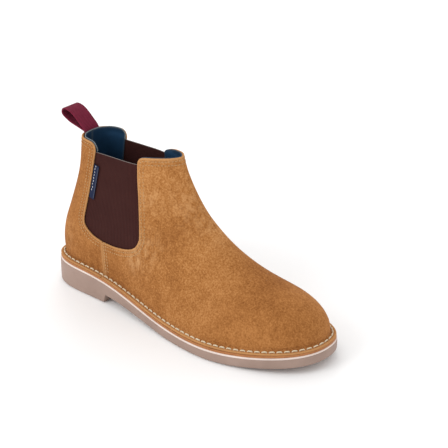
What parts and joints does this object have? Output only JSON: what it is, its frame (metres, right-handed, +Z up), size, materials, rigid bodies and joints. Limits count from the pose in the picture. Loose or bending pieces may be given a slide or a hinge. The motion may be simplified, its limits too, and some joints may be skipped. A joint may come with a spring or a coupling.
{
  "type": "chelsea boot",
  "caption": "Ankle-height chelsea boot for the right foot with elastic side gores, a stitchdown flange on a rubber sole, a hinged pull tab and a side flag label.",
  "frame": {"origin": "bottom centre of the bounding box, on the ground midway along the sole", "axes": "+X towards the toe, +Y towards the medial (inner) side, +Z up"},
  "size_m": [0.305, 0.1076, 0.1721],
  "materials": {
    "outsole": "satin moulded rubber",
    "white_midsole": "satin",
    "leather_midsole": "raw cut edge",
    "suede": "napped suede",
    "elastic": "ribbed elastic webbing",
    "lining": "smooth textile lining",
    "stiffener": "matt",
    "steel": "brushed",
    "board": "fibreboard",
    "foam": "closed-cell foam",
    "sock": "smooth",
    "thread": "waxed thread",
    "webbing": "ribbed webbing",
    "label": "woven"
  },
  "bodies": {
    "boot": {"outsole": "outsole", "white_midsole": "white_midsole", "leather_midsole": "leather_midsole", "steel_shank": "steel", "insole_board": "board", "footbed_foam": "foam", "sock_lining": "sock", "welt_stitching": "thread", "vamp": "suede", "quarter_lateral": "suede", "quarter_medial": "suede", "gore_lateral": "elastic", "gore_medial": "elastic", "heel_counter": "stiffener", "toe_puff": "stiffener", "vamp_lining": "lining", "quarter_lining": "lining", "pull_tab_anchor": "webbing"},
    "pull_tab": {"pull_tab_loop": "webbing"},
    "label_flag": {"flag_label": "label"}
  },
  "joints": [
    {"name": "pull_tab_hinge", "type": "hinge", "parent": "boot", "child": "pull_tab", "pos_m": [-0.11807, 0.00268, 0.1546], "axis": [0, 1, 0], "range_deg": [-20, 75], "stiffness_Nm_per_rad": 0.02},
    {"name": "label_hinge", "type": "hinge", "parent": "boot", "child": "label_flag", "pos_m": [-0.09806, -0.02053, 0.11533], "axis": [-0.2125, -0.0373, -0.9764], "range_deg": [0, 85], "stiffness_Nm_per_rad": 0.0005}
  ]
}
